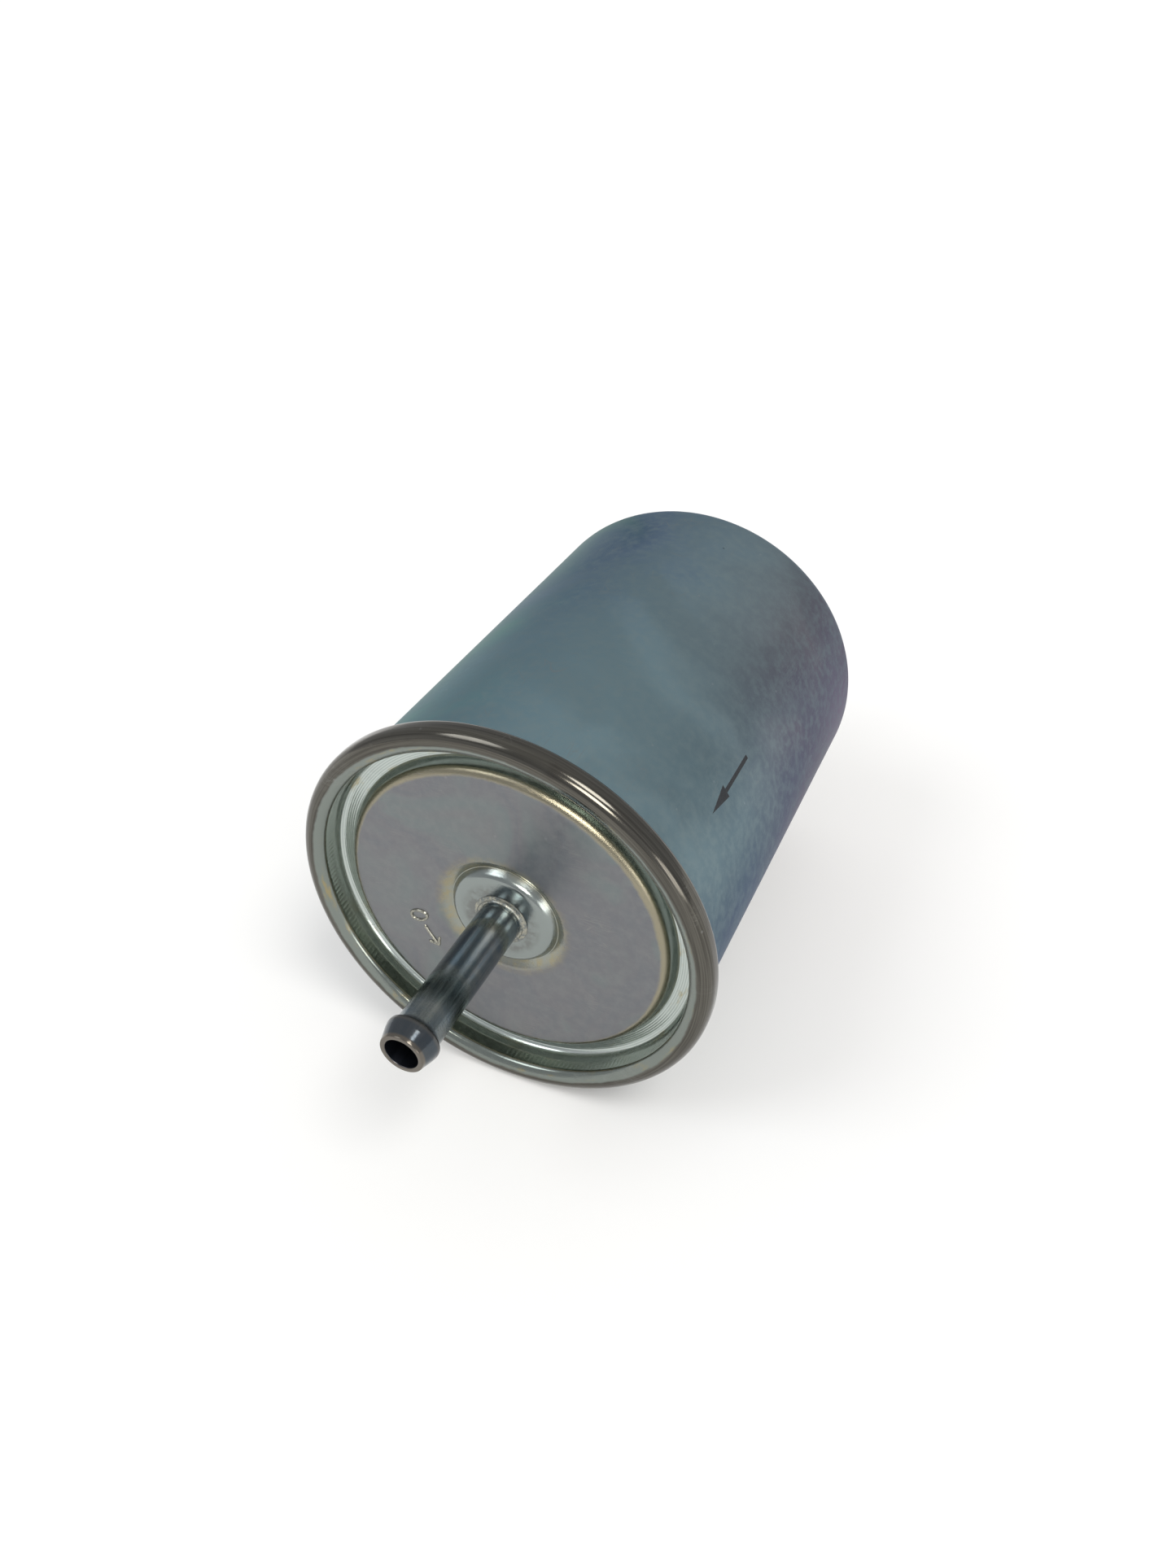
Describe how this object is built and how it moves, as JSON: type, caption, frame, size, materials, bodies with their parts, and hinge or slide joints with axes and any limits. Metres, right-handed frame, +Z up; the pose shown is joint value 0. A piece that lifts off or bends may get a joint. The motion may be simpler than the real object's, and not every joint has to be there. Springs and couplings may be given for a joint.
{
  "type": "in-line fuel filter",
  "caption": "In-line fuel filter: plated steel canister with a rolled seam, recessed end cover, beaded hose tube at each end and a sprung pleated element inside.",
  "frame": {"origin": "on the axis, halfway between the rim's top and the can's far face, which is the middle of the straight can wall where a clamp strap sits", "axes": "Y runs along the filter's axis with the outlet tube at -Y and the inlet tube at +Y; +Z is up as the filter lies on its side"},
  "size_m": [0.08, 0.1604, 0.08],
  "materials": {
    "zinc_can": "satin blue-passivated zinc over drawn steel, faint iridescent bands",
    "zinc_cover": "satin blue-passivated zinc, burnished to bare steel on the rolled seam",
    "dark_zinc_tube": "glossy dark blue passivated zinc, worn to bare steel at the tip",
    "braze": "smooth braze fillet, plated over",
    "cap_steel": "tin-plated pressed steel",
    "core_steel": "perforated tin-plated steel",
    "potting": "cured plastisol",
    "paper": "resin-impregnated filter paper",
    "band_paper": "plain paper band",
    "rubber": "black nitrile rubber",
    "spring_steel": "bright spring wire",
    "guide_plastic": "natural acetal",
    "compound": "cured seaming compound"
  },
  "bodies": {
    "housing": {"can_shell": "zinc_can", "end_cover": "zinc_cover", "seam_compound": "compound", "outlet_tube": "dark_zinc_tube", "inlet_tube": "dark_zinc_tube", "outlet_braze": "braze", "inlet_braze": "braze", "inlet_diffuser": "core_steel", "spring_seat": "cap_steel", "element_spring": "spring_steel"},
    "element": {"outlet_end_cap": "cap_steel", "inlet_end_cap": "cap_steel", "outlet_potting": "potting", "inlet_potting": "potting", "pleated_media": "paper", "pleat_bands": "band_paper", "centre_tube": "core_steel", "outlet_seal": "rubber", "seal_retainer": "cap_steel", "element_guide": "guide_plastic"}
  },
  "joints": [
    {"name": "element_lift", "type": "slide", "parent": "housing", "child": "element", "axis": [0, 1, 0], "range_m": [0, 0.003], "stiffness_N_per_m": 3000, "springref_m": -0.004, "deforming": ["element_spring"]}
  ]
}
